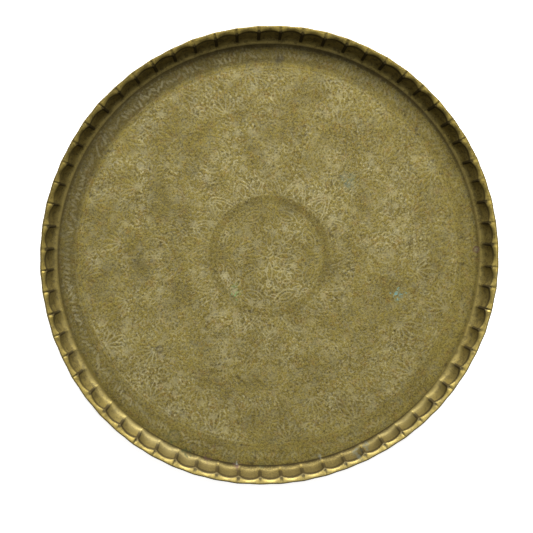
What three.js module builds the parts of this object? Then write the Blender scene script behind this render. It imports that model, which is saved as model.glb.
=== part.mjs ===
// Round engraved brass serving tray: a flat floor, a low fluted wall, and a creased lip whose edge is
// turned down round a steel stiffening wire. Lengths are in millimetres, +Z is up, and the origin is
// the centre of the floor's underside.
import * as THREE from 'three';
import { mergeVertices } from 'three/addons/utils/BufferGeometryUtils.js';

// Driving dimensions.
const OUTER_DIAMETER = 760; // across the corners of the lip
const RIM_HEIGHT = 26; // floor's underside to the lip's top
const SHEET = 1; // sheet thickness
const FLUTES = 64; // hammered flutes round the wall, with the middle of one on +X
const FLOOR_RADIUS = 350; // flat part of the floor
const WALL_FOOT = 356; // radius where the wall starts to rise, at the middle of a flute
const LIP_WIDTH = 7; // lip's inner edge to its outline, at the middle of a flute
const LIP_CLIMB = 2.4; // how far the lip's inner edge lies below its top
const LIP_CREST = 4.2; // from the top of the wall to where the lip levels off
const WIRE_DIAMETER = 1.6;
const WIRE_GAP = 0.3; // between the wire and the sheet turned round it
const CURL_TURN = 240; // degrees that the edge turns round the wire, from the lip's top
const CURL_STEPS = 4; // flat facets that make up the turned edge
const WIRE_SIDES = 8;

// Flute shape. A rib is the sharp ridge between two flutes.
const RIB_FOOT = 2.5; // how far a rib stands inside the middle of a flute, at the wall's foot
const RIB_TOP = 4.6; // the same at the wall's top
const CORNER = 0.8; // how far the outline's corner at each rib stands out of the flute's middle
const CREASE_DEPTH = 1.0; // drop of the lip's V-shaped crease at each rib
const SHOULDER = 0.14; // half the crease's width, as a share of a flute
const FOOT_HEIGHT = 3; // height of the wall's foot above the floor's underside
const BEND_DROP = 1.4; // height of the rounded corner between the wall and the lip

// Derived sizes.
const OUTER_RADIUS = OUTER_DIAMETER / 2;
const MIDDLE_RADIUS = OUTER_RADIUS - CORNER; // outline at the middle of a flute
const CURL_FLAT = WIRE_DIAMETER / 2 + WIRE_GAP + SHEET / 2; // wire's centre to a facet's middle line
const CURL_RADIUS = CURL_FLAT / Math.cos(THREE.MathUtils.degToRad(CURL_TURN / CURL_STEPS / 2));
const WIRE_RADIAL = MIDDLE_RADIUS - SHEET / 2 - CURL_FLAT; // wire's centre, from the tray's axis
const WIRE_LEVEL = RIM_HEIGHT - SHEET / 2 - CURL_RADIUS; // wire's centre, above the floor's underside
const WALL_TOP = MIDDLE_RADIUS - LIP_WIDTH;
const FLUTE_COLUMNS = [0, SHOULDER, 0.5, 1 - SHOULDER]; // places along a flute, from rib to rib
const WIRE_COLUMNS = [0, 0.5];

const BRASS = new THREE.MeshStandardMaterial({ color: 0x9c8a55, roughness: 0.45, metalness: 1 });
const STEEL = new THREE.MeshStandardMaterial({ color: 0x4f4a45, roughness: 0.7, metalness: 1 });

/** How near a place along a flute is to a rib: 1 on the rib, 0 at the flute's middle. */
function nearRib(place) {
  return Math.abs(1 - 2 * place);
}

/**
 * Moves an outline point to its place along a flute. rib is how far the sheet stands inwards at the
 * rib, following a hollow arc between two ribs, and crease is how far it drops there.
 */
function shapeFlute(point, place) {
  const hollow = nearRib(place) ** 2;
  const fold = Math.max(0, 1 - Math.min(place, 1 - place) / SHOULDER);
  return {
    r: point.r - point.rib * hollow + point.corner * nearRib(place),
    z: point.z - point.crease * fold,
  };
}

/** The sheet's middle line, from the tray's axis to the end of the turned edge. */
function sheetMiddleLine() {
  const half = SHEET / 2;
  const top = RIM_HEIGHT - half;
  const lipEdge = top - LIP_CLIMB;
  const line = [
    { r: 0, z: half, rib: 0, corner: 0, crease: 0 },
    { r: FLOOR_RADIUS, z: half, rib: 0, corner: 0, crease: 0 },
    { r: WALL_FOOT, z: FOOT_HEIGHT, rib: RIB_FOOT, corner: 0, crease: 0 },
    { r: WALL_TOP - BEND_DROP, z: lipEdge - BEND_DROP, rib: RIB_TOP, corner: 0, crease: CREASE_DEPTH / 2 },
    { r: WALL_TOP + half, z: lipEdge, rib: RIB_TOP, corner: 0, crease: CREASE_DEPTH },
    { r: WALL_TOP + LIP_CREST, z: top, rib: RIB_TOP / 4, corner: CORNER / 2, crease: CREASE_DEPTH / 2 },
  ];
  for (let step = 0; step <= CURL_STEPS; step += 1) {
    const angle = THREE.MathUtils.degToRad(90 - (CURL_TURN * step) / CURL_STEPS);
    line.push({
      r: WIRE_RADIAL + CURL_RADIUS * Math.cos(angle),
      z: WIRE_LEVEL + CURL_RADIUS * Math.sin(angle),
      rib: 0,
      corner: CORNER,
      crease: 0,
    });
  }
  return line;
}

/** Where a point of the middle line goes when it is moved sideways by distance, mitred at a bend. */
function offsetPoint(line, index, distance) {
  const here = line[index];
  const before = line[Math.max(index - 1, 0)];
  const after = line[Math.min(index + 1, line.length - 1)];
  const arriving = new THREE.Vector2(here.r - before.r, here.z - before.z).normalize();
  const leaving = new THREE.Vector2(after.r - here.r, after.z - here.z).normalize();
  const along = arriving.clone().add(leaving).normalize();
  const straight = arriving.lengthSq() > 0 ? arriving : leaving;
  const reach = distance / along.dot(straight);
  return { ...here, r: here.r - along.y * reach, z: here.z + along.x * reach };
}

/** The sheet's closed outline: out along the underside, round the free edge and back on top. */
function sheetOutline() {
  const line = sheetMiddleLine();
  const underside = line.map((_, index) => offsetPoint(line, index, -SHEET / 2));
  const upperSide = line.map((_, index) => offsetPoint(line, index, SHEET / 2));
  return underside.concat(upperSide.reverse());
}

/** The wire's round section, as a closed outline. */
function wireOutline() {
  const outline = [];
  for (let side = 0; side <= WIRE_SIDES; side += 1) {
    const angle = (2 * Math.PI * (side % WIRE_SIDES)) / WIRE_SIDES;
    outline.push({
      r: WIRE_RADIAL + (WIRE_DIAMETER / 2) * Math.cos(angle),
      z: WIRE_LEVEL + (WIRE_DIAMETER / 2) * Math.sin(angle),
      rib: 0,
      corner: CORNER,
      crease: 0,
    });
  }
  return outline;
}

/** Turns a closed outline round the Z axis, with the given columns in every flute. */
function turnFluted(outline, columns) {
  const points = outline.map((point) => new THREE.Vector2(point.r, point.z));
  const geometry = new THREE.LatheGeometry(points, FLUTES * columns.length);
  const position = geometry.attributes.position;
  for (let i = 0; i < position.count; i += 1) {
    const column = Math.floor(i / outline.length) % (FLUTES * columns.length);
    const place = columns[column % columns.length];
    const flute = Math.floor(column / columns.length);
    const angle = (2 * Math.PI * (flute + place + 0.5)) / FLUTES;
    const { r, z } = shapeFlute(outline[i % outline.length], place);
    position.setXYZ(i, r * Math.cos(angle), r * Math.sin(angle), z);
  }
  geometry.deleteAttribute('normal');
  geometry.deleteAttribute('uv');
  const merged = mergeVertices(geometry);
  merged.computeVertexNormals();
  return merged;
}

function makeTraySheet() {
  const mesh = new THREE.Mesh(turnFluted(sheetOutline(), FLUTE_COLUMNS), BRASS);
  mesh.name = 'tray_sheet';
  return mesh;
}

function makeRimWire() {
  const mesh = new THREE.Mesh(turnFluted(wireOutline(), WIRE_COLUMNS), STEEL);
  mesh.name = 'rim_wire';
  return mesh;
}

const tray = new THREE.Group();
tray.add(makeTraySheet());
tray.add(makeRimWire());

export default tray;
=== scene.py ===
"""Looks of a large round engraved brass tray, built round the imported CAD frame.

The tray sheet is one closed mesh with real thickness: engraved floor, hammered flutes, creased lip and
an edge curled round a steel wire, which is the second piece. Blender works in metres, so lengths given
in millimetres are multiplied by MM. Angles are counter-clockwise from +X, and +Y is the far side.
"""

import math

import bpy
import numpy as np
from mathutils import Matrix, Vector


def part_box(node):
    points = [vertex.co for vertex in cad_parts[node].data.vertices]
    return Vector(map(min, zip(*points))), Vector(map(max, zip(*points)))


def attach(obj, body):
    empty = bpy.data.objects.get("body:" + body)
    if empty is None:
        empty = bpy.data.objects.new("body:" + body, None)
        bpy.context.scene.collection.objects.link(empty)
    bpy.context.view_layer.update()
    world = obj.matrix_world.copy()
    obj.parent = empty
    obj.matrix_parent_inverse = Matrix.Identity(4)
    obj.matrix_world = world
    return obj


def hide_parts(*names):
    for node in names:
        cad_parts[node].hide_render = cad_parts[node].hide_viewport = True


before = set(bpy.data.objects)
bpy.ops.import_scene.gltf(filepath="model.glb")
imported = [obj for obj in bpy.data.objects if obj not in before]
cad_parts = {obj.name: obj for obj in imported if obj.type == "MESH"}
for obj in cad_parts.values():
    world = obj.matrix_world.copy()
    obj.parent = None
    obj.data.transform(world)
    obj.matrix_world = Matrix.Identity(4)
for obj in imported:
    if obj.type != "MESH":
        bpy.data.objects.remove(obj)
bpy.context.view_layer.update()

MM = 0.001
FULL_TURN = 2 * math.pi
RANDOM = np.random.default_rng(64)

# ---------------------------------------------------------------- sizes taken from the CAD frame
FLUTES = 64
PITCH = FULL_TURN / FLUTES
SHEET_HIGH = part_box("tray_sheet")[1]
WIRE_LOW, WIRE_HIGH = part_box("rim_wire")
OUTLINE = SHEET_HIGH.x / math.cos(PITCH / 2)  # to the outline's corners, half a flute off +X
RIM_TOP = SHEET_HIGH.z
WIRE_LEVEL = (WIRE_HIGH.z + WIRE_LOW.z) / 2
WIRE_RADIUS = (WIRE_HIGH.z - WIRE_LOW.z) / 2

# ---------------------------------------------------------------- the sheet's own sizes
SHEET = 1.0 * MM
FLOOR_EDGE = 351 * MM
FOOT_BEND = 13 * MM  # radius of the hollow corner between floor and wall
WALL_SLOPE = math.radians(58)
LIP_WIDTH = 7 * MM  # at the middle of a flute
LIP_CLIMB = 2.4 * MM  # how far the lip's inner edge lies below its top
CORNER = 0.8 * MM  # how far the outline's corners stand out of the middle of a flute
CURL_RADIUS = RIM_TOP - SHEET / 2 - WIRE_LEVEL  # wire's centre to the sheet's middle line
CURL_CENTRE = OUTLINE - CORNER - SHEET / 2 - CURL_RADIUS
CURL_TURN = math.radians(240)

RIB_FOOT = 3.0 * MM  # how far a rib stands inside the middle of its flute, at the wall's foot
RIB_TOP = 4.6 * MM
CREASE_DEPTH = 1.1 * MM
CURL_CREASE = 0.35  # share of a crease's depth that is left where it crosses the wire
CREASE_SHARE = 0.09  # half a crease's width, as a share of a flute
ENGRAVED_DEPTH = 0.3 * MM

# Mesh density.
COLUMNS_PER_FLUTE = 24
COLUMNS = FLUTES * COLUMNS_PER_FLUTE
RING_STEP = 1.1 * MM  # between the rings that carry the engraving
UNDERSIDE_STEP = 2.6 * MM
GATHER = 0.7  # how strongly the columns of a flute gather at its ribs, 0 to 1
WIRE_SIDES = 12

# The hand-raised rim is out of round: a little oval, three-sided and four-sided. Each is the number of
# waves round it, their height in mm and the direction of a peak in degrees.
RIM_WAVES = ((2, 1.5, 45), (3, 1.5, -15), (4, 1.0, -30))


# ---------------------------------------------------------------- helpers
def smoothstep(low, high, value):
    share = np.clip((value - low) / (high - low), 0, 1)
    return share * share * (3 - 2 * share)


def bell(distance, width):
    return np.exp(-((distance / width) ** 2))


class SoftNoise:
    """Seeded value noise over the tray's plan: random numbers on a square lattice, blended smoothly."""

    REACH = 0.42

    def __init__(self, cell):
        self.cell = cell
        self.half = int(math.ceil(self.REACH / cell)) + 1
        self.lattice = RANDOM.random((2 * self.half + 2, 2 * self.half + 2))

    def __call__(self, x, y):
        across = x / self.cell + self.half
        along = y / self.cell + self.half
        i = np.floor(across).astype(int)
        j = np.floor(along).astype(int)
        s = smoothstep(0, 1, across - i)
        t = smoothstep(0, 1, along - j)
        near = self.lattice[i, j] * (1 - s) + self.lattice[i + 1, j] * s
        far = self.lattice[i, j + 1] * (1 - s) + self.lattice[i + 1, j + 1] * s
        return near * (1 - t) + far * t


class Mottle:
    """Layers of soft noise, each half the size and 0.6 the strength of the one before, from 0 to 1."""

    def __init__(self, cell, layers=4):
        self.layers = [(0.6**k, SoftNoise(cell / 2**k)) for k in range(layers)]

    def __call__(self, x, y):
        total = sum(weight * layer(x, y) for weight, layer in self.layers)
        return total / sum(weight for weight, _ in self.layers)


# ---------------------------------------------------------------- engraving
class Plate:
    """A plan of the floor in millimetres: tool strokes laid as soft-edged lines, and shapes left blank."""

    CELL = 0.5
    HALF = 360.0

    def __init__(self):
        self.size = int(2 * self.HALF / self.CELL)
        self.strokes = []
        self.blank = np.zeros((self.size, self.size))

    def stroke(self, x, y, weight=1.0):
        """Lays a line through points that are closer together than a cell."""
        self.strokes.append(np.stack((x, y, np.full(len(x), weight))))

    def leaf(self, cx, cy, length, width, heading):
        """Cuts the outline of a pointed leaf and leaves its inside blank."""
        cos, sin = math.cos(heading), math.sin(heading)
        along = (share_steps(length) - 0.5) * length
        bow = width / 2 * (1 - (2 * along / length) ** 2)
        for across in (-bow, bow):
            self.stroke(cx + along * cos - across * sin, cy + along * sin + across * cos)
        i = self.window(cx, length)
        j = self.window(cy, length)
        x = (i * self.CELL - self.HALF - cx)[:, None]
        y = (j * self.CELL - self.HALF - cy)[None, :]
        along = x * cos + y * sin
        inside = width / 2 * (1 - (2 * along / length) ** 2) - np.abs(y * cos - x * sin)
        patch = self.blank[i[0]:i[-1] + 1, j[0]:j[-1] + 1]
        np.maximum(patch, np.clip(inside / self.CELL, 0, 1), out=patch)

    def window(self, centre, length):
        first = int((centre - length / 2 + self.HALF) / self.CELL)
        return np.arange(first, first + int(length / self.CELL) + 2)

    def is_blank(self, x, y):
        return self.blank[int((x + self.HALF) / self.CELL), int((y + self.HALF) / self.CELL)] > 0

    def bite(self, width):
        """The plan of all strokes cut with a tool of this width, from 0 for untouched to 1."""
        x, y, weight = np.concatenate(self.strokes, axis=1)
        i, s = np.divmod((x + self.HALF) / self.CELL, 1)
        j, t = np.divmod((y + self.HALF) / self.CELL, 1)
        i, j = i.astype(int), j.astype(int)
        plan = np.zeros((self.size, self.size))
        np.add.at(plan, (i, j), weight * (1 - s) * (1 - t))
        np.add.at(plan, (i + 1, j), weight * s * (1 - t))
        np.add.at(plan, (i, j + 1), weight * (1 - s) * t)
        np.add.at(plan, (i + 1, j + 1), weight * s * t)
        plan = soften(np.minimum(plan, 1.4), width / self.CELL)
        return np.clip(plan * 2.6, 0, 1)


def soften(plan, cells):
    """Blurs a plan by a bell curve about this many cells wide."""
    spread = cells / 2.4
    reach = int(math.ceil(2.5 * spread))
    offsets = range(-reach, reach + 1)
    shares = np.array([math.exp(-0.5 * (offset / spread) ** 2) for offset in offsets])
    shares /= shares.sum()
    for axis in (0, 1):
        plan = sum(share * np.roll(plan, offset, axis) for offset, share in zip(offsets, shares))
    return plan


def read_plan(plan, x, y):
    """A plan's values at points given in metres."""
    i, s = np.divmod(np.clip((x / MM + Plate.HALF) / Plate.CELL, 0, len(plan) - 2), 1)
    j, t = np.divmod(np.clip((y / MM + Plate.HALF) / Plate.CELL, 0, len(plan) - 2), 1)
    i, j = i.astype(int), j.astype(int)
    near = plan[i, j] * (1 - s) + plan[i + 1, j] * s
    far = plan[i, j + 1] * (1 - s) + plan[i + 1, j + 1] * s
    return near * (1 - t) + far * t


def share_steps(length):
    """Even shares from 0 to 1, close enough for a stroke of this length in millimetres."""
    return np.linspace(0, 1, max(5, int(length / 0.35)))


def draw_arc(plate, cx, cy, radius, start, turn, weight=1.0):
    angle = start + turn * share_steps(abs(turn) * radius)
    plate.stroke(cx + radius * np.cos(angle), cy + radius * np.sin(angle), weight)


def draw_ring(plate, radius, weight=1.0):
    draw_arc(plate, 0, 0, radius, 0, FULL_TURN, weight)


def draw_spiral(plate, cx, cy, radius, start, turn):
    """A curl that winds in to a small eye."""
    share = share_steps(abs(turn) * radius * 0.6)
    reach = radius * (1 - 0.85 * share)
    angle = start + turn * share
    plate.stroke(cx + reach * np.cos(angle), cy + reach * np.sin(angle))


def draw_flower(plate, cx, cy, radius, petals, turn):
    """A flower of leaf-shaped petals round an eye."""
    for k in range(petals):
        heading = turn + k * FULL_TURN / petals
        x, y = cx + 0.6 * radius * math.cos(heading), cy + 0.6 * radius * math.sin(heading)
        plate.leaf(x, y, 0.8 * radius, 2.2 * radius / petals, heading)
    draw_arc(plate, cx, cy, 0.17 * radius, 0, FULL_TURN)


def scatter(inner, outer, spacing, throws):
    """Points thrown at random between two radii, none nearer to another than the spacing."""
    kept, near_cells = [], {}
    for _ in range(throws):
        reach = math.sqrt(RANDOM.uniform(inner**2, outer**2))
        turn = RANDOM.uniform(0, FULL_TURN)
        x, y = reach * math.cos(turn), reach * math.sin(turn)
        i, j = int(x // spacing), int(y // spacing)
        around = [p for di in (-1, 0, 1) for dj in (-1, 0, 1) for p in near_cells.get((i + di, j + dj), ())]
        if all((x - px) ** 2 + (y - py) ** 2 > spacing**2 for px, py in around):
            near_cells.setdefault((i, j), []).append((x, y))
            kept.append((x, y))
    return kept


# Radii of the floor's engraved zones, in millimetres.
MEDALLION, MEDALLION_RING = 87, 103
COLLAR = 137
SCROLLS = 190
BAND_INNER, BAND_OUTER = 243, 313
BORDER_INNER, BORDER_OUTER = 320, 346
GUTTER = 348.5

# Width of the tool that cut the motifs and the border, and distance between the ground's lines.
MOTIF_TOOL, BORDER_TOOL = 1.35, 1.1
LINE_SPACING = 8.0
HAIRLINE_SPACING = 0.65 * LINE_SPACING


def draw_medallion(plate):
    """The ringed middle: eight leaves along the ring and a cross of leaves between four flowers."""
    for k in range(8):
        turn = (k + 0.5) * FULL_TURN / 8
        x, y = 71 * math.cos(turn), 71 * math.sin(turn)
        plate.leaf(x, y, 42, 19, turn + math.pi / 2)
        plate.leaf(x, y, 24, 9, turn + math.pi / 2)
        draw_spiral(plate, 48 * math.cos(turn + 0.39), 48 * math.sin(turn + 0.39), 9, turn, 9)
    for k in range(4):
        turn = (k + 0.5) * FULL_TURN / 4
        draw_flower(plate, 31 * math.cos(turn), 31 * math.sin(turn), 17, 5, turn)
        axis = k * FULL_TURN / 4
        plate.leaf(26 * math.cos(axis), 26 * math.sin(axis), 32, 9, axis)


def draw_collar(plate):
    """Sixteen pointed arches that stand on the medallion's ring, with a leaf in each."""
    arches = 16
    for k in range(arches):
        turn = k * FULL_TURN / arches
        for reach in (1.0, 0.8):
            share = share_steps(90)
            x = MEDALLION_RING + (COLLAR - MEDALLION_RING) * reach * (1 - np.abs(2 * share - 1) ** 1.6)
            angle = turn + (share - 0.5) * reach * FULL_TURN / arches
            plate.stroke(x * np.cos(angle), x * np.sin(angle))
        middle = MEDALLION_RING + 14
        plate.leaf(middle * math.cos(turn), middle * math.sin(turn), 20, 9, turn)


def draw_scrolls(plate, radius, count, size):
    """A ring of scrolling vines: a spiral with leaves along it, each handed the other way to the next."""
    for k in range(count):
        turn = k * FULL_TURN / count
        x, y = radius * math.cos(turn), radius * math.sin(turn)
        hand = 1 if k % 2 else -1
        draw_spiral(plate, x, y, size, turn + math.pi, hand * 13)
        draw_flower(plate, x, y, 0.3 * size, 6, turn)
        for step in range(14):
            share = step / 14
            reach = size * (0.9 - 0.6 * share)
            angle = turn + math.pi + hand * 11 * share + 0.4
            lx, ly = x + reach * math.cos(angle), y + reach * math.sin(angle)
            plate.leaf(lx, ly, 0.3 * size, 0.14 * size, angle + hand * 1.1)


def draw_palmettes(plate, inner, outer, count):
    """A ring of fanned leaves, each standing between two curls, and every second one upside down."""
    for k in range(count):
        turn = (k + RANDOM.normal(0.5, 0.04)) * FULL_TURN / count
        height = outer - inner
        foot, hand = (inner, 1) if k % 2 else (outer, -1)
        for step in (-2, -1, 0, 1, 2):
            length = height * (0.52 - 0.08 * abs(step)) * RANDOM.uniform(0.9, 1.1)
            heading = turn + hand * 0.42 * step
            x = (foot + hand * 2) * math.cos(turn) + hand * 0.62 * length * math.cos(heading)
            y = (foot + hand * 2) * math.sin(turn) + hand * 0.62 * length * math.sin(heading)
            plate.leaf(x, y, length, 0.24 * length, heading)
        for side in (-1, 1):
            x, y = foot + hand * 0.74 * height, side * 0.30 * FULL_TURN / count
            draw_spiral(plate, x * math.cos(turn + y), x * math.sin(turn + y), 12, turn, side * hand * 9)


def draw_sprigs(plate, inner, outer):
    """Fills what is left with small flowers and leaves, the leaves of a neighbourhood lying one way."""
    sway = SoftNoise(45 * MM)
    for x, y in scatter(inner, outer, 12.5, 16000):
        if plate.is_blank(x, y):
            continue
        heading = 3 * FULL_TURN * float(sway(x * MM, y * MM)) + RANDOM.normal(0, 0.4)
        if RANDOM.random() < 0.3:
            draw_flower(plate, x, y, RANDOM.uniform(6, 8), int(RANDOM.integers(5, 7)), heading)
        else:
            length = RANDOM.uniform(8, 15)
            plate.leaf(x, y, length, RANDOM.uniform(0.35, 0.5) * length, heading)


def draw_border(plate):
    """Ruled rings, and a running band of short slanted cuts in groups that lean either way."""
    for radius, weight in ((MEDALLION, 0.6), (MEDALLION_RING, 0.6), (BAND_OUTER, 0.6), (BORDER_INNER, 0.4)):
        draw_ring(plate, radius, weight)
    turn, lean = 0.0, 0.5
    while turn < FULL_TURN:
        if RANDOM.random() < 0.5:
            lean = RANDOM.uniform(0.2, 1.0) * RANDOM.choice((-1, 1))
        radius = (BORDER_INNER + BORDER_OUTER) / 2 + RANDOM.normal(0, 2.5)
        x, y = radius * math.cos(turn), radius * math.sin(turn)
        plate.leaf(x, y, RANDOM.uniform(5, 12), RANDOM.uniform(1.4, 3.0), turn + lean)
        turn += RANDOM.uniform(5.5, 9.5) / radius


def wind_lines(plan, spacing):
    """Winding lines of many widths, about this far apart, that tend to run along a plan's strokes."""
    frequency = np.fft.fftfreq(len(plan), Plate.CELL)
    pitch = np.hypot(frequency[:, None], frequency[None, :]) * spacing
    band = bell(np.log(np.maximum(pitch, 1e-6)), 0.95)
    lines = RANDOM.normal(0, 1, plan.shape)
    lines = np.fft.ifft2(np.fft.fft2(lines) * band).real
    lines = np.tanh(2.0 * lines / lines.std()) + 0.6 * plan
    lines = np.fft.ifft2(np.fft.fft2(lines) * band).real
    return lines / lines.std()


def zone(radius, inner, outer, edge=1.5):
    """1 between two radii and 0 elsewhere, with soft edges."""
    past_inner = smoothstep(inner - edge, inner + edge, radius)
    past_outer = smoothstep(outer - edge, outer + edge, radius)
    return past_inner * (1 - past_outer)


def draw_motifs():
    """All the ornament inside the border."""
    motifs = Plate()
    draw_medallion(motifs)
    draw_collar(motifs)
    draw_scrolls(motifs, SCROLLS, 12, 44)
    draw_palmettes(motifs, BAND_INNER, BAND_OUTER, 32)
    draw_sprigs(motifs, 0, MEDALLION - 5)
    draw_sprigs(motifs, MEDALLION_RING + 8, BAND_OUTER - 5)
    return motifs


def cut_ground(motifs, strokes):
    """The ground between the motifs: winding cuts with hairlines among them, fainter inside the leaves."""
    winding = smoothstep(0.1, 2.2, wind_lines(strokes, LINE_SPACING))
    hairlines = 0.75 * bell(wind_lines(strokes, HAIRLINE_SPACING), 0.28)
    return np.maximum(winding, hairlines) * (1 - 0.38 * motifs.blank)


def engrave():
    """The plan of the whole floor: how deeply each place is cut, from 0 to 1."""
    motifs = draw_motifs()
    strokes = motifs.bite(MOTIF_TOOL)
    border = Plate()
    draw_border(border)
    place = np.arange(motifs.size) * Plate.CELL - Plate.HALF
    radius = np.hypot(place[:, None], place[None, :])
    degrees = np.degrees(np.arctan2(place[None, :], place[:, None]))
    motif_depth = np.where(radius < MEDALLION_RING, 0.85, 0.6)
    cut = np.maximum(cut_ground(motifs, strokes), strokes * motif_depth)
    plain_ring = zone(radius, MEDALLION + 2, MEDALLION_RING - 2, 3) * (0.6 + 0.4 * facing(degrees, 60))
    in_border = smoothstep(BAND_OUTER - 2, BAND_OUTER + 4, radius)
    cut = cut * (1 - 0.5 * plain_ring) * (1 - 0.5 * in_border)
    border_depth = 0.54 + 0.16 * facing(degrees, 200)
    cut = np.maximum(cut, border_depth * border.bite(BORDER_TOOL))
    cut = cut * (1 - smoothstep(BORDER_OUTER - 1, BORDER_OUTER + 3, radius))
    left_by_wear = 0.85 + 0.40 * facing(degrees, 145) ** 1.5 * smoothstep(70, 170, radius)
    left_by_wear = left_by_wear + 0.08 * (1 - smoothstep(60, 150, radius))
    return np.clip(cut * left_by_wear, 0, 1)


# ---------------------------------------------------------------- the sheet's section
def arc_points(centre_r, centre_z, radius, start, turn, count):
    angle = np.linspace(start, start + turn, count)
    return centre_r + radius * np.cos(angle), centre_z + radius * np.sin(angle)


def make_section():
    """The sheet's middle line outside the flat floor, in the middle of a flute.

    Gives r, z and the unit normal towards the tray's inside, how much each point takes of the ribs, the
    creases, the outline's corners, the flutes' uneven height and the rim's waves, and from 0 to 1 how far
    it belongs to each part that rubbing, soiling, painted shade and painted highlights tell apart.
    """
    half = SHEET / 2
    foot_r, foot_z = arc_points(FLOOR_EDGE, half + FOOT_BEND, FOOT_BEND, -math.pi / 2, WALL_SLOPE, 9)
    edge_r = OUTLINE - CORNER - LIP_WIDTH
    crest_z = RIM_TOP - half
    climb = np.linspace(0, 1, 9)
    lip_r = edge_r + (CURL_CENTRE - edge_r) * climb
    lip_z = crest_z - LIP_CLIMB * (1 - climb) ** 1.5
    rise = np.linspace(0, 1, 14)[1:-1]
    wall_r = foot_r[-1] + (lip_r[0] - foot_r[-1]) * rise
    wall_z = foot_z[-1] + (lip_z[0] - foot_z[-1]) * rise
    curl_r, curl_z = arc_points(CURL_CENTRE, WIRE_LEVEL, CURL_RADIUS, math.pi / 2, -CURL_TURN, 15)
    r = np.concatenate((foot_r, wall_r, lip_r, curl_r[1:]))
    z = np.concatenate((foot_z, wall_z, lip_z, curl_z[1:]))
    along_r, along_z = np.gradient(r), np.gradient(z)
    length = np.hypot(along_r, along_z)
    height = z / RIM_TOP
    parts = [len(foot_r), len(wall_r), len(lip_r), len(curl_r) - 1]
    foot, wall, lip, curl = (np.linspace(0, 1, n) for n in parts)

    def along(on_foot=0, on_wall=0, on_lip=0, on_curl=0):
        values = zip((on_foot, on_wall, on_lip, on_curl), parts)
        return np.concatenate([np.broadcast_to(value, n) for value, n in values])

    top_rib = RIB_TOP / RIB_FOOT
    rib = along(foot**0.7, 1 + (top_rib - 1) * wall, top_rib * (1 - lip))
    lip_crease = CURL_CREASE + (1 - CURL_CREASE) * np.sin(math.pi * (0.2 + 0.8 * lip)) ** 0.5
    curl_crease = CURL_CREASE * (1 - smoothstep(0.1, 0.5, curl))
    crease = along(0, 0.6 * wall**6, lip_crease, curl_crease)
    return {
        "r": r, "z": z, "normal_r": -along_z / length, "normal_z": along_r / length,
        "rib": rib * RIB_FOOT, "crease": crease * CREASE_DEPTH,
        "corner": along(on_lip=lip, on_curl=1),
        "lifted": along(on_wall=wall, on_lip=1, on_curl=1),
        "wave": 0.5 + 0.5 * height,
        "hollow": along(on_foot=bell(foot - 0.22, 0.12)),
        "gutter": along(on_foot=(1 - foot) ** 3),
        "foot": along(on_foot=smoothstep(0.1, 0.4, foot), on_wall=(1 - wall) ** 3),
        "rise": along(on_wall=1, on_lip=(1 - lip) ** 2),
        "bend": along(on_foot=smoothstep(0.4, 0.8, foot)),
        "brow": along(on_wall=smoothstep(0.72, 0.95, wall), on_lip=(1 - lip) ** 8),
        "lip": along(on_lip=0.4 + 0.4 * lip, on_curl=0.6 * (1 - curl) ** 9),
        "turned": along(on_lip=lip**12, on_curl=1),
    }


# ---------------------------------------------------------------- flutes
class Flutes:
    """The hammered flutes, each a little different: rib angles, depths and creases, all seeded."""

    def __init__(self):
        self.rib_turn = (np.arange(FLUTES) + 0.5) * PITCH + math.radians(0.2)
        self.rib_turn += RANDOM.normal(0, math.radians(0.14), FLUTES)
        self.rib_depth = RANDOM.normal(1, 0.1, FLUTES)
        self.crease_depth = np.clip(RANDOM.normal(1, 0.3, FLUTES), 0.4, 1.6)
        self.crease_width = np.clip(RANDOM.normal(1, 0.2, FLUTES), 0.7, 1.5)
        self.bulge = RANDOM.normal(0, 0.35 * MM, FLUTES)
        self.edge_shift = RANDOM.normal(0, 0.25 * MM, FLUTES)
        self.lift = RANDOM.normal(0, 0.2 * MM, FLUTES)
        self.dirt_and_shade = RANDOM.uniform(0.5, 1.3, FLUTES)

    def column(self):
        """For each column: its flute, and its place along the flute from rib to rib."""
        index = np.arange(COLUMNS)
        flute = index // COLUMNS_PER_FLUTE
        even = (index % COLUMNS_PER_FLUTE) / COLUMNS_PER_FLUTE
        place = even - GATHER * np.sin(FULL_TURN * even) / FULL_TURN
        return flute, even, place

    def between_ribs(self, values, flute, place):
        return values[flute] * (1 - place) + np.roll(values, -1)[flute] * place


def rim_wave(turn):
    return sum(mm * MM * np.cos(waves * (turn - math.radians(peak))) for waves, mm, peak in RIM_WAVES)


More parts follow.
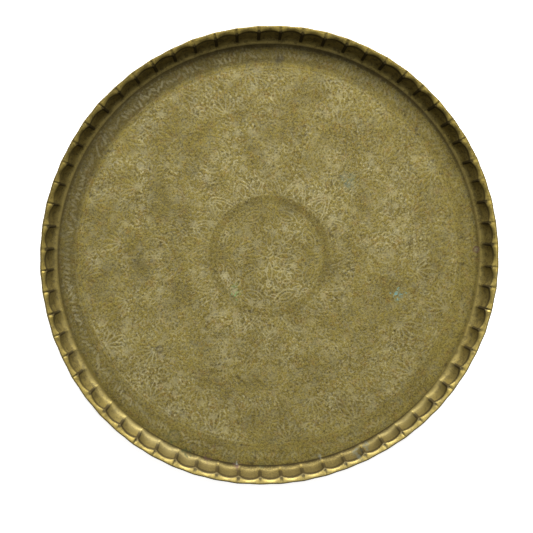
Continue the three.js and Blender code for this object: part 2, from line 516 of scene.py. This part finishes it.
class SheetMesh:
    """Rings of vertices from the floor's middle, over the rim and back underneath, joined by faces."""

    MASKS = ("groove_and_sheen", "dust", "wear_and_highlight", "grime_and_shade", "wall")

    def __init__(self):
        self.points, self.faces, self.rings = [], [], []
        self.masks = {name: [] for name in self.MASKS}
        self.count = 0
        self.flutes = Flutes()
        flute, even, place = self.flutes.column()
        ribs = self.flutes.rib_turn
        following = np.roll(ribs, -1) + np.where(np.arange(FLUTES) == FLUTES - 1, FULL_TURN, 0)
        self.flute, self.place = flute, place
        self.even_turn = (flute + 0.5 + even) * PITCH
        self.flute_turn = ribs[flute] + (following - ribs)[flute] * place
        self.near_rib = np.abs(1 - 2 * place)
        nearest = np.where(place < 0.5, flute, (flute + 1) % FLUTES)
        reach = np.minimum(place, 1 - place) / (CREASE_SHARE * self.flutes.crease_width[nearest])
        self.fold = np.maximum(0, 1 - reach) * self.flutes.crease_depth[nearest]
        self.rib_depth = self.near_rib**2 * self.flutes.between_ribs(self.flutes.rib_depth, flute, place)
        self.belly = 4 * place * (1 - place)
        self.edge_shift = self.flutes.between_ribs(self.flutes.edge_shift, flute, place)
        self.lift = self.flutes.between_ribs(self.flutes.lift, flute, place)

    def outline_shift(self):
        """How far each column's outline stands out of the plain circle, apart from the rim's waves."""
        return CORNER * self.near_rib + self.edge_shift

    def add_ring(self, x, y, z, masks):
        """Adds a ring and the faces to the ring before, which may have twice or half as many vertices."""
        start = self.count
        n = len(x)
        self.points.append(np.stack((x, y, z), axis=1))
        for name in self.MASKS:
            self.masks[name].append(np.broadcast_to(masks.get(name, 0.0), n))
        self.count += n
        if self.rings:
            self.join(self.rings[-1], (start, n))
        self.rings.append((start, n))

    def join(self, before, after):
        (a, na), (b, nb) = before, after
        if na == nb:
            k = np.arange(na)
            following = (k + 1) % na
            self.faces.append(np.stack((a + k, b + k, b + following, a + following), axis=1))
        elif nb == 2 * na:
            k = np.arange(na)
            following = (k + 1) % na
            left, middle, right = b + 2 * k, b + 2 * k + 1, b + (2 * k + 2) % nb
            self.faces.append(np.stack((a + k, left, middle), axis=1))
            self.faces.append(np.stack((a + k, middle, a + following), axis=1))
            self.faces.append(np.stack((a + following, middle, right), axis=1))
        elif na == 2 * nb:
            k = np.arange(nb)
            following = (k + 1) % nb
            left, middle, right = a + 2 * k, a + 2 * k + 1, a + (2 * k + 2) % na
            self.faces.append(np.stack((left, b + k, middle), axis=1))
            self.faces.append(np.stack((middle, b + k, b + following), axis=1))
            self.faces.append(np.stack((middle, b + following, right), axis=1))
        else:
            k = np.arange(max(na, nb))
            fan = (a, b + k, b + (k + 1) % nb) if na == 1 else (a + k, np.full(na, b), a + (k + 1) % na)
            self.faces.append(np.stack(np.broadcast_arrays(*fan), axis=1))

    def add_floor_ring(self, radius, surface, extra_halvings=0):
        """A ring of the floor. Its columns thin out inwards and meet the flutes' columns at the edge."""
        halvings = max(0, math.floor(math.log2(0.72 * FLOOR_EDGE / radius))) + extra_halvings
        skip = 2 ** min(halvings, 7)
        share = smoothstep(FLOOR_EDGE - 14 * MM, FLOOR_EDGE, radius)
        turn = (self.even_turn + (self.flute_turn - self.even_turn) * share)[::skip]
        spread = radius + 0.5 * smoothstep(FLOOR_EDGE - 60 * MM, FLOOR_EDGE, radius) * rim_wave(turn)
        x, y = spread * np.cos(turn), spread * np.sin(turn)
        self.add_ring(x, y, *surface(x, y))

    def add_wall_ring(self, section, k, side):
        """A ring at point k of the section, on the inside (side 1) or the outside (side -1)."""
        offset = side * SHEET / 2
        turn = self.flute_turn
        radius = section["r"][k] + section["normal_r"][k] * offset
        radius = radius - section["rib"][k] * self.rib_depth + section["corner"][k] * self.outline_shift()
        radius = radius + section["wave"][k] * rim_wave(turn)
        rib_share = section["rib"][k] / RIB_TOP
        radius = radius + rib_share * self.flutes.bulge[self.flute] * self.belly
        height = section["z"][k] + section["normal_z"][k] * offset - section["crease"][k] * self.fold
        height = height + section["lifted"][k] * self.lift
        x, y = radius * np.cos(turn), radius * np.sin(turn)
        masks = self.wall_masks(section, k, side)
        skip = 1 if side > 0 else 2
        masks = {name: np.broadcast_to(value, COLUMNS)[::skip] for name, value in masks.items()}
        self.add_ring(x[::skip], y[::skip], height[::skip], masks)

    def wall_masks(self, section, k, side):
        if side < 0:
            return {"wear_and_highlight": 0.4 * section["lip"][k], "grime_and_shade": 0.25, "wall": 1.0}
        here = {name: values[k] for name, values in section.items()}
        degrees = np.degrees(self.flute_turn)
        return {
            "wear_and_highlight": self.wall_wear_and_highlight(here, degrees), "grime_and_shade": self.wall_grime_and_shade(here, degrees), "wall": 1.0,
            # On the wall this mask, with dust set at 0.7, paints a pale sheen where the lamp's highlights
            # fall.
            "groove_and_sheen": self.wall_painted_sheen(here, degrees), "dust": 0.7,
        }

    def wall_wear_and_highlight(self, here, degrees):
        """Handling wears the lip bright, and the foot of the wall and its ribs a little. Part of the
        brightness is
        painted highlight: along the foot's bend and in its hollow, weaker on the far side, and on the lip
        next to the ribs; the lip is also brighter towards the far right.
        """
        ridge = smoothstep(0.86, 1.0, self.near_rib)
        # Partly painted highlight: the lip is brighter next to the ribs, where the creases catch the light.
        on_lip = here["lip"] * (0.7 + 0.4 * self.near_rib) * (0.92 + 0.4 * facing(degrees, 50))
        # Partly painted highlight along the foot's bend, and a painted catch light in its hollow, weaker on
        # the far side.
        on_foot = here["foot"] * (0.2 + 0.4 * ridge) + 0.25 * here["hollow"]
        return np.maximum(on_lip, on_foot * (1 - 0.5 * facing(degrees, 110)))

    def wall_grime_and_shade(self, here, degrees):
        """Painted shade under the lip, in the folds beside the ribs and down the far side's bend, and on the
        far side's curl, where it dulls the lamp's glint. Dirty in the gutter, on the whole curl and on the
        near wall; the lip is darker in its creases and on the left side.
        """
        # Painted shade, each flute's strength seeded: dark under the lip's brow, and in the folds beside the
        # ribs down into the bend on the far side.
        dirt_and_shade = self.flutes.between_ribs(self.flutes.dirt_and_shade, self.flute, self.place)
        rise = here["rise"] + here["bend"] * facing(degrees, 100)
        grime_and_shade = dirt_and_shade * (0.9 * here["brow"] + 2.2 * rise * smoothstep(0.80, 0.93, self.near_rib))
        grime_and_shade = grime_and_shade + 0.5 * here["gutter"] + 0.4 * here["lip"] * self.fold
        # Painted shade on the far side's curl dulls the lamp's glint there; the even share all round is
        # soiling.
        grime_and_shade = grime_and_shade + (0.35 + 0.5 * facing(degrees, 90)) * here["turned"]
        grime_and_shade = grime_and_shade + 0.9 * bell(facing(degrees, 274) - 1, 0.16) * (1 - here["lip"])
        grime_and_shade = grime_and_shade + 0.4 * here["lip"] * facing(degrees, 155) ** 2
        return np.clip(grime_and_shade, 0, 1.5)

    def wall_painted_sheen(self, here, degrees):
        """A painted pale sheen on the near side's lip and foot, where the lamp's highlights fall, apart from
        the foot's stained stretch.
        """
        on_lip = 0.25 * here["lip"] * facing(degrees, 290) ** 3
        unstained = 1 - 0.9 * bell(facing(degrees, 275) - 1, 0.06)
        return on_lip + 0.22 * here["foot"] * facing(degrees, 265) ** 2 * unstained


# ---------------------------------------------------------------- the floor's surface and its patina
def polar(x, y):
    return np.hypot(x, y) / MM, np.degrees(np.arctan2(y, x))


def facing(degrees, towards):
    """1 on the side of the tray that lies this way from its middle, falling to 0 on the other side."""
    return 0.5 + 0.5 * np.cos(np.radians(degrees - towards))


class FloorPatina:
    """Where dust has settled in the engraving, where the floor is grimy, and where the far wall's shadow is
    painted on.
    """

    # Darker patches: direction in degrees, distance from the middle, size in mm, and strength.
    PATCHES = (
        (132, 185, 13, 0.7), (134, 298, 14, 0.7), (116, 285, 15, 0.6), (106, 290, 6, 0.9),
        (101, 267, 12, 0.5), (172, 274, 13, 0.7), (185, 272, 9, 0.5), (181, 218, 24, 0.5),
        (92, 136, 9, 0.6), (65, 147, 9, 0.6), (21, 214, 11, 0.7), (-44, 307, 13, 0.5),
        (-65, 275, 10, 0.7), (-59, 290, 10, 0.6), (263, 278, 15, 0.5), (-86, 131, 7, 0.6),
        (-68, 135, 11, 0.6), (-51, 125, 10, 0.6), (-10, 106, 17, 0.7), (66, 84, 15, 0.8),
        (243, 59, 15, 0.6), (282, 42, 7, 0.7), (155, 177, 36, 0.4), (-12, 172, 5, 0.7),
        (87, 325, 8, 1.0),
    )

    def __init__(self):
        self.clouds = Mottle(70 * MM, 4)
        self.streaks = Mottle(26 * MM, 4)
        self.specks = Mottle(5 * MM, 2)

    def dust(self, x, y):
        """Cloudy dust in the cuts, thinner on the left and thicker just outside the medallion."""
        radius, degrees = polar(x, y)
        in_medallion = 1 - smoothstep(70, 110, radius)
        in_band = zone(radius, BAND_INNER - 5, BAND_OUTER + 1, 8)
        in_border = smoothstep(BAND_OUTER, BORDER_INNER, radius)
        collar = bell(radius - 124, 24) * (0.3 + 0.7 * facing(degrees, 120))
        level = 0.49 + 0.04 * facing(degrees, 80) - 0.14 * facing(degrees, 165) ** 2 + 0.12 * collar
        level = level + 0.08 * in_medallion * (facing(degrees, 215) - 0.5)
        level = level + 0.05 * in_band * facing(degrees, 130)
        level = level + in_band * (0.06 * facing(degrees, 275) ** 4 - 0.05 * facing(degrees, 90) ** 4)
        on_near_left = 0.08 * facing(degrees, 190) ** 4 + 0.06 * facing(degrees, 255) ** 2
        level = level + in_border * (on_near_left - 0.06)
        level = level + 0.40 * (1 - 0.6 * in_border) * (self.clouds(x, y) - 0.5)
        level = level + 0.36 * (self.streaks(x, y) - 0.5)
        return smoothstep(0.08, 0.92, level)

    def grime_and_shade(self, x, y):
        """Dirt on the medallion's ring, on the border and in the gutter, in patches and specks, and the far
        wall's painted shadow over the far side's gutter and border.
        """
        radius, degrees = polar(x, y)
        streaks = self.streaks(x, y)
        on_ring = zone(radius, MEDALLION + 2, MEDALLION_RING - 2, 3)
        level = on_ring * (0.12 + 0.18 * facing(degrees, 60))
        # Painted shadow: the border darkens towards the far and left side, partly soiled and partly the far
        # wall's shadow painted on.
        in_border = smoothstep(BAND_OUTER, BORDER_INNER + 6, radius)
        level = level + in_border * (0.02 + 0.80 * facing(degrees, 130) ** 1.4)
        # Painted shadow: the gutter is soiled all round, and the far wall's shadow is painted over it on the
        # far side.
        level = level + (0.15 + 0.65 * facing(degrees, 75)) * bell(radius - GUTTER, 3.5)
        for direction, distance, size, strength in self.PATCHES:
            px = distance * MM * math.cos(math.radians(direction))
            py = distance * MM * math.sin(math.radians(direction))
            away = np.hypot(x - px, y - py) / (size * MM)
            level = level + 0.5 * strength * bell(away * (0.7 + 0.6 * streaks), 0.8)
        specks = smoothstep(0.62, 0.85, self.specks(x, y)) * smoothstep(0.5, 0.7, streaks)
        return np.clip(level + 0.9 * specks, 0, 1)


def build_sheet_mesh(plan):
    sag = Mottle(160 * MM, 2)
    planish = Mottle(22 * MM, 2)
    dimple = Mottle(9 * MM, 2)
    patina = FloorPatina()

    def sagging(x, y):
        flat = 1 - smoothstep(0.80 * FLOOR_EDGE, FLOOR_EDGE, np.hypot(x, y))
        return (0.9 * MM * (sag(x, y) - 0.5) + 0.25 * MM * (planish(x, y) - 0.5)) * flat

    def top(x, y):
        groove_and_sheen = read_plan(plan, x, y)
        height = SHEET + sagging(x, y) - ENGRAVED_DEPTH * groove_and_sheen
        return height, {"groove_and_sheen": groove_and_sheen, "dust": patina.dust(x, y), "grime_and_shade": patina.grime_and_shade(x, y)}

    def underside(x, y):
        flat = 1 - smoothstep(0.93 * FLOOR_EDGE, FLOOR_EDGE, np.hypot(x, y))
        return sagging(x, y) + 0.18 * MM * dimple(x, y) * flat, {"grime_and_shade": 0.3}

    mesh = SheetMesh()
    middle = np.zeros(1)
    mesh.add_ring(middle, middle, *top(middle, middle))
    rings = round(FLOOR_EDGE / RING_STEP)
    for k in range(1, rings):
        mesh.add_floor_ring(k * FLOOR_EDGE / rings, top)
    section = make_section()
    points = len(section["r"])
    for k in range(points):
        mesh.add_wall_ring(section, k, 1)
    for k in reversed(range(points)):
        mesh.add_wall_ring(section, k, -1)
    rings = round(FLOOR_EDGE / UNDERSIDE_STEP)
    for k in reversed(range(1, rings)):
        mesh.add_floor_ring(k * FLOOR_EDGE / rings, underside, extra_halvings=1)
    mesh.add_ring(middle, middle, *underside(middle, middle))
    return mesh


def to_object(mesh, name):
    """Makes the Blender object, with the masks as float attributes."""
    points = np.concatenate(mesh.points)
    loops = np.concatenate([faces.ravel() for faces in mesh.faces])
    sizes = np.concatenate([np.full(len(faces), faces.shape[1]) for faces in mesh.faces])
    data = bpy.data.meshes.new(name)
    data.vertices.add(len(points))
    data.vertices.foreach_set("co", points.astype(np.float32).ravel())
    data.loops.add(len(loops))
    data.loops.foreach_set("vertex_index", loops.astype(np.int32))
    data.polygons.add(len(sizes))
    starts = np.concatenate(([0], np.cumsum(sizes)[:-1]))
    data.polygons.foreach_set("loop_start", starts.astype(np.int32))
    data.update(calc_edges=True)
    data.shade_smooth()
    for mask, values in mesh.masks.items():
        layer = data.attributes.new(mask, "FLOAT", "POINT")
        layer.data.foreach_set("value", np.concatenate(values).astype(np.float32))
    obj = bpy.data.objects.new(name, data)
    bpy.context.scene.collection.objects.link(obj)
    return obj


# ---------------------------------------------------------------- stains
# Colours are linear.
TEAL, GREEN, MOSS = (0.12, 0.21, 0.18), (0.14, 0.27, 0.10), (0.035, 0.042, 0.014)
SALT, RUST, DARK = (0.25, 0.26, 0.21), (0.075, 0.038, 0.028), (0.05, 0.042, 0.022)
SLATE = (0.075, 0.085, 0.068)
# Blots: direction in degrees, distance from the middle, size in mm, strength, colour.
BLOTS = (
    (-17, 227, 11, 1.0, TEAL), (43, 182, 17, 0.5, TEAL), (228, 84, 7, 0.9, GREEN), (225, 78, 10, 0.4, GREEN),
    (242, 352, 6, 0.8, MOSS), (247, 353, 8, 0.9, MOSS), (253, 352, 7, 0.7, RUST), (261, 351, 7, 0.7, RUST),
    (261, 350, 3, 1.0, SALT), (268, 351, 5, 0.5, MOSS), (274, 352, 4, 0.7, DARK), (284, 345, 5, 0.5, SALT),
    (294, 361, 9, 0.6, SLATE), (297, 357, 6, 0.5, SLATE), (87, 325, 6, 0.6, DARK), (254, 330, 4, 0.6, RUST),
)
# Rings left by drops: direction, distance, radius in mm, strength, colour.
DROP_RINGS = (
    (220, 238, 5.0, 0.7, DARK), (-78, 249, 3.4, 0.6, DARK),
    (242, 339, 9.5, 0.6, MOSS), (1.5, 346, 4.2, 0.9, RUST),
)


def paint_stains(obj):
    """Lays the stains over each other in a colour attribute, whose alpha says how much they cover."""
    count = len(obj.data.vertices)
    points = np.empty(count * 3, np.float32)
    obj.data.vertices.foreach_get("co", points)
    x, y, z = points.reshape(-1, 3).astype(float).T
    ragged = Mottle(4.5 * MM, 3)(x, y)
    speckled = smoothstep(0.30, 0.52, Mottle(2.6 * MM, 2)(x, y))
    colour = np.zeros((count, 4))
    upper = smoothstep(0.4 * MM, 1.0 * MM, z)

    def lay(cover, tint):
        cover = (cover * upper)[:, None]
        colour[:, :3] = colour[:, :3] * (1 - cover) + np.array(tint) * cover
        colour[:, 3:] = colour[:, 3:] + cover * (1 - colour[:, 3:])

    def away_from(direction, distance):
        turn = math.radians(direction)
        return np.hypot(x - distance * MM * math.cos(turn), y - distance * MM * math.sin(turn)) / MM

    for direction, distance, size, strength, tint in BLOTS:
        edge = away_from(direction, distance) / size + 2.6 * (ragged - 0.5)
        lay(strength * speckled * (1 - smoothstep(0.3, 1.1, edge)), tint)
    for direction, distance, radius, strength, tint in DROP_RINGS:
        away = away_from(direction, distance)
        lay(strength * bell(away - radius, 1.5), tint)
        lay(0.15 * strength * (1 - smoothstep(0.5, 0.9, away / radius)), SALT)
    colour[:, :3] /= np.maximum(colour[:, 3:], 1e-6)
    layer = obj.data.attributes.new("stain", "FLOAT_COLOR", "POINT")
    layer.data.foreach_set("color", colour.astype(np.float32).ravel())


# ---------------------------------------------------------------- materials
class Nodes:
    """Short calls for building a material's node tree."""

    def __init__(self, name):
        self.material = bpy.data.materials.new(name)
        self.material.use_nodes = True
        self.tree = self.material.node_tree
        self.shader = self.tree.nodes["Principled BSDF"]
        self.place = self.node("ShaderNodeTexCoord").outputs["Object"]

    def node(self, kind, **settings):
        made = self.tree.nodes.new(kind)
        for key, value in settings.items():
            setattr(made, key, value)
        return made

    def feed(self, socket, value):
        if isinstance(value, bpy.types.NodeSocket):
            self.tree.links.new(value, socket)
        elif isinstance(value, tuple):
            socket.default_value = (*value, 1.0) if len(value) == 3 else value
        else:
            socket.default_value = value

    def attribute(self, name, output="Fac"):
        return self.node("ShaderNodeAttribute", attribute_name=name).outputs[output]

    def noise(self, size, detail=4.0, roughness=0.55, place=None):
        made = self.node("ShaderNodeTexNoise")
        self.feed(made.inputs["Vector"], place or self.place)
        self.feed(made.inputs["Scale"], 1 / size)
        self.feed(made.inputs["Detail"], detail)
        self.feed(made.inputs["Roughness"], roughness)
        return made.outputs["Fac"]

    def ramp(self, value, low, high, out_low=0.0, out_high=1.0):
        made = self.node("ShaderNodeMapRange", interpolation_type="SMOOTHSTEP")
        for name, number in zip(("Value", "From Min", "From Max", "To Min", "To Max"),
                                (value, low, high, out_low, out_high)):
            self.feed(made.inputs[name], number)
        return made.outputs["Result"]

    def maths(self, operation, a, b=0.0, clamp=False):
        made = self.node("ShaderNodeMath", operation=operation, use_clamp=clamp)
        self.feed(made.inputs[0], a)
        self.feed(made.inputs[1], b)
        return made.outputs[0]

    def mix(self, share, a, b, blend="MIX"):
        made = self.node("ShaderNodeMix", data_type="RGBA", blend_type=blend)
        self.feed(made.inputs["Factor"], share)
        self.feed(made.inputs[6], a)
        self.feed(made.inputs[7], b)
        return made.outputs[2]

    def bump(self, height, depth, strength=1.0):
        made = self.node("ShaderNodeBump")
        self.feed(made.inputs["Height"], height)
        self.feed(made.inputs["Distance"], depth)
        self.feed(made.inputs["Strength"], strength)
        return made.outputs["Normal"]


# Linear colours of the brass.
TARNISH_DARK, TARNISH_LIGHT = (0.190, 0.146, 0.031), (0.280, 0.221, 0.048)
TARNISH_GREY, TARNISH_ORANGE = (0.235, 0.208, 0.090), (0.275, 0.165, 0.034)
# DUST_AND_PALE_SHEEN also paints the pale sheen on the near side's lip and foot.
# GRIME_AND_SHADE also paints the shade under the lip, beside the ribs and on the far side.
DUST_AND_PALE_SHEEN, GRIME_AND_SHADE, BRIGHT_BRASS = (0.430, 0.395, 0.236), (0.036, 0.026, 0.010), (0.600, 0.455, 0.105)
WALL_BRASS = (0.225, 0.176, 0.056)


def tarnish(n, fine, wall):
    """Olive tarnish with grey and orange clouds and dark speckle, browner on the wall."""
    clouds = n.noise(55 * MM, 6)
    flecks = n.noise(5 * MM, 3, 0.6)
    grain = n.noise(1.5 * MM, 2, 0.6)
    grey = n.ramp(n.noise(23 * MM, 7, 0.65), 0.48, 0.66, 0, 0.75)
    orange = n.ramp(n.noise(17 * MM, 7, 0.65), 0.50, 0.70, 0, 0.75)
    colour = n.mix(n.ramp(clouds, 0.36, 0.66), TARNISH_DARK, TARNISH_LIGHT)
    colour = n.mix(grey, colour, TARNISH_GREY)
    colour = n.mix(orange, colour, TARNISH_ORANGE)
    colour = n.mix(n.ramp(fine, 0.47, 0.60, 0, 0.9), colour, TARNISH_LIGHT)
    colour = n.mix(n.ramp(fine, 0.36, 0.50, 0.68, 0), colour, GRIME_AND_SHADE)
    colour = n.mix(n.ramp(flecks, 0.34, 0.50, 0.35, 0), colour, GRIME_AND_SHADE)
    colour = n.mix(n.ramp(grain, 0.34, 0.48, 0.5, 0), colour, GRIME_AND_SHADE)
    on_wall = n.maths("MULTIPLY", wall, n.ramp(clouds, 0.3, 0.6, 0.4, 0.9))
    return n.mix(on_wall, colour, WALL_BRASS)


def pitted_normal(n):
    """Fine pits, and scratches that run one way."""
    scratches = n.node("ShaderNodeMapping")
    n.feed(scratches.inputs["Vector"], n.place)
    scratches.inputs["Scale"].default_value = (1.0, 7.0, 1.0)
    scratches.inputs["Rotation"].default_value = (0, 0, math.radians(35))
    scored = n.noise(6 * MM, 4, 0.6, scratches.outputs["Vector"])
    pitted = n.maths("ADD", n.noise(1.6 * MM, 3, 0.6), n.maths("MULTIPLY", scored, 0.6))
    return n.bump(pitted, 0.12 * MM, 0.8)


def make_brass():
    n = Nodes("aged_brass")
    groove_and_sheen, dust, wear_and_highlight, grime_and_shade, wall = (n.attribute(name) for name in SheetMesh.MASKS)
    stain, cover = n.attribute("stain", "Color"), n.attribute("stain", "Alpha")
    fine = n.noise(2.2 * MM, 4, 0.75)

    # On the floor this is dust in the cuts; on the wall the same mix paints a pale sheen on the near side's
    # lip and foot.
    dust_and_pale_sheen = n.maths("MULTIPLY", groove_and_sheen, dust)
    clean = n.maths("MULTIPLY", groove_and_sheen, n.maths("SUBTRACT", 0.8, dust, clamp=True))
    # Partly rubbed bright, partly painted highlight along the wall's foot and on the lip next to the ribs.
    shine = n.maths("MULTIPLY", wear_and_highlight, n.ramp(n.noise(9 * MM, 5), 0.3, 0.6, 0.35, 1.0))
    blotched = n.maths("MULTIPLY", wall, n.ramp(n.noise(8 * MM, 6, 0.7), 0.45, 0.62, 0, 0.60))
    # Darkened by soiling and blotches, and by painted shade under the lip, beside the ribs and over the far
    # side's gutter, border and curl.
    dirt_and_shade = n.maths("MULTIPLY", grime_and_shade, n.ramp(fine, 0.25, 0.7, 0.6, 1.0))
    dirt_and_shade = n.maths("MAXIMUM", blotched, dirt_and_shade, clamp=True)

    colour = tarnish(n, fine, wall)
    colour = n.mix(n.maths("MULTIPLY", clean, 0.7), colour, GRIME_AND_SHADE)
    colour = n.mix(shine, colour, BRIGHT_BRASS)
    colour = n.mix(n.maths("MULTIPLY", dirt_and_shade, 0.92), colour, GRIME_AND_SHADE)
    colour = n.mix(n.maths("MULTIPLY", dust_and_pale_sheen, 0.88), colour, DUST_AND_PALE_SHEEN)
    colour = n.mix(cover, colour, stain)
    n.feed(n.shader.inputs["Base Color"], colour)

    dull = n.maths("MAXIMUM", dust_and_pale_sheen, cover)
    n.feed(n.shader.inputs["Metallic"], n.ramp(dull, 0, 1, 0.85, 0.2))
    n.feed(n.shader.inputs["Specular IOR Level"], n.ramp(dull, 0, 1, 0.4, 0.1))
    rough = n.ramp(n.noise(14 * MM, 5), 0.3, 0.7, 0.44, 0.56)
    rough = n.maths("ADD", rough, n.maths("MULTIPLY", n.maths("MAXIMUM", dull, dirt_and_shade), 0.15))
    rough = n.maths("SUBTRACT", rough, n.maths("MULTIPLY", shine, 0.17))
    n.feed(n.shader.inputs["Roughness"], rough)
    n.feed(n.shader.inputs["Normal"], pitted_normal(n))
    return n.material


def make_wire_steel():
    n = Nodes("rim_steel")
    rust = n.ramp(n.noise(6 * MM, 6), 0.42, 0.66)
    n.feed(n.shader.inputs["Base Color"], n.mix(rust, (0.16, 0.15, 0.14), (0.16, 0.065, 0.025)))
    n.feed(n.shader.inputs["Metallic"], n.ramp(rust, 0, 1, 0.9, 0.1))
    n.feed(n.shader.inputs["Roughness"], n.ramp(rust, 0, 1, 0.45, 0.85))
    n.feed(n.shader.inputs["Normal"], n.bump(n.noise(1.2 * MM, 4), 0.15 * MM))
    return n.material


def make_pale_floor():
    n = Nodes("pale_floor")
    n.feed(n.shader.inputs["Base Color"], (0.92, 0.92, 0.92))
    n.feed(n.shader.inputs["Roughness"], 0.9)
    n.feed(n.shader.inputs["Specular IOR Level"], 0.1)
    n.feed(n.shader.inputs["Emission Color"], (1.0, 1.0, 1.0))
    n.feed(n.shader.inputs["Emission Strength"], 0.75)
    return n.material


# ---------------------------------------------------------------- the pieces
def make_tray_sheet(sheet_mesh):
    sheet = to_object(sheet_mesh, "tray_sheet_visual")
    paint_stains(sheet)
    sheet.data.materials.append(make_brass())
    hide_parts("tray_sheet")
    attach(sheet, "root")


def make_rim_wire(sheet_mesh):
    """A wire that follows the curled edge all the way round, with its two ends butted together."""
    columns = np.arange(0, COLUMNS, 3)
    turn = sheet_mesh.flute_turn[columns]
    radial = (CURL_CENTRE + sheet_mesh.outline_shift() + rim_wave(sheet_mesh.flute_turn))[columns]
    level = (WIRE_LEVEL + sheet_mesh.lift - CURL_CREASE * CREASE_DEPTH * sheet_mesh.fold)[columns]
    side = np.arange(WIRE_SIDES) * FULL_TURN / WIRE_SIDES
    reach = radial[:, None] + WIRE_RADIUS * np.cos(side)
    height = level[:, None] + WIRE_RADIUS * np.sin(side)
    points = np.stack((reach * np.cos(turn)[:, None], reach * np.sin(turn)[:, None], height), axis=2)
    n = len(columns)
    column, corner = np.meshgrid(np.arange(n - 1), np.arange(WIRE_SIDES), indexing="ij")
    following = (corner + 1) % WIRE_SIDES
    at = column * WIRE_SIDES
    ahead = at + WIRE_SIDES
    faces = np.stack((at + corner, at + following, ahead + following, ahead + corner), axis=2)
    faces = faces.reshape(-1, 4).tolist()
    faces.append(list(range(WIRE_SIDES))[::-1])
    faces.append([(n - 1) * WIRE_SIDES + k for k in range(WIRE_SIDES)])
    data = bpy.data.meshes.new("rim_wire_visual")
    data.from_pydata(points.reshape(-1, 3).tolist(), [], faces)
    data.shade_smooth()
    data.materials.append(make_wire_steel())
    wire = bpy.data.objects.new("rim_wire_visual", data)
    bpy.context.scene.collection.objects.link(wire)
    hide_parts("rim_wire")
    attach(wire, "root")


# ---------------------------------------------------------------- stage, light and camera
def make_stage():
    data = bpy.data.meshes.new("stage_floor")
    half_side, level = 6.0, -1.0 * MM
    corners = [(sx * half_side, sy * half_side, level) for sx, sy in ((-1, -1), (1, -1), (1, 1), (-1, 1))]
    data.from_pydata(corners, [], [(0, 1, 2, 3)])
    floor = bpy.data.objects.new("stage_floor", data)
    floor.data.materials.append(make_pale_floor())
    bpy.context.scene.collection.objects.link(floor)


def add_softbox(name, place, width, height, power):
    """A soft rectangular lamp, aimed at the middle of the tray."""
    lamp = bpy.data.lights.new(name, "AREA")
    lamp.shape = "RECTANGLE"
    lamp.size, lamp.size_y = width, height
    lamp.energy = power
    box = bpy.data.objects.new(name, lamp)
    box.location = place
    # A subtraction, because negating the place gives -0.0, which turns the overhead lamp half round.
    towards_tray = Vector((0, 0, 0)) - Vector(place)
    box.rotation_euler = towards_tray.to_track_quat("-Z", "Y").to_euler()
    bpy.context.scene.collection.objects.link(box)


def light_stage():
    add_softbox("key_from_far_side", (0.6, 6.9, 4.0), 11.0, 2.5, 2450)
    add_softbox("overhead", (0.0, 0.0, 4.5), 3.0, 3.0, 38)
    world = bpy.data.worlds.new("studio")
    bpy.context.scene.world = world
    world.use_nodes = True
    world.node_tree.nodes["Background"].inputs["Color"].default_value = (1, 1, 1, 1)
    world.node_tree.nodes["Background"].inputs["Strength"].default_value = 0.145
    bpy.context.scene.view_settings.view_transform = "Standard"


CAMERA_DISTANCE = 4.0
CAMERA_LEAN = math.radians(6.5)  # off straight down
CAMERA_SIDE = math.radians(135)  # the camera leans over this side of the tray
FRAME_WIDTH = 0.8775  # width of the view in the plane of the tray


def aim_camera():
    data = bpy.data.cameras.new("camera")
    data.lens = data.sensor_width * CAMERA_DISTANCE / FRAME_WIDTH
    data.shift_x, data.shift_y = -0.0077, -0.0172
    camera = bpy.data.objects.new("camera", data)
    lean = math.sin(CAMERA_LEAN)
    back = Vector((lean * math.cos(CAMERA_SIDE), lean * math.sin(CAMERA_SIDE), math.cos(CAMERA_LEAN)))
    right = Vector((0, 1, 0)).cross(back).normalized()
    up = back.cross(right)
    turn = Matrix((right, up, back)).transposed().to_4x4()
    target = Vector((0, 0, RIM_TOP))
    camera.matrix_world = Matrix.Translation(target + back * CAMERA_DISTANCE) @ turn
    bpy.context.scene.collection.objects.link(camera)
    bpy.context.scene.camera = camera


tray = build_sheet_mesh(engrave())
make_tray_sheet(tray)
make_rim_wire(tray)
make_stage()
light_stage()
aim_camera()
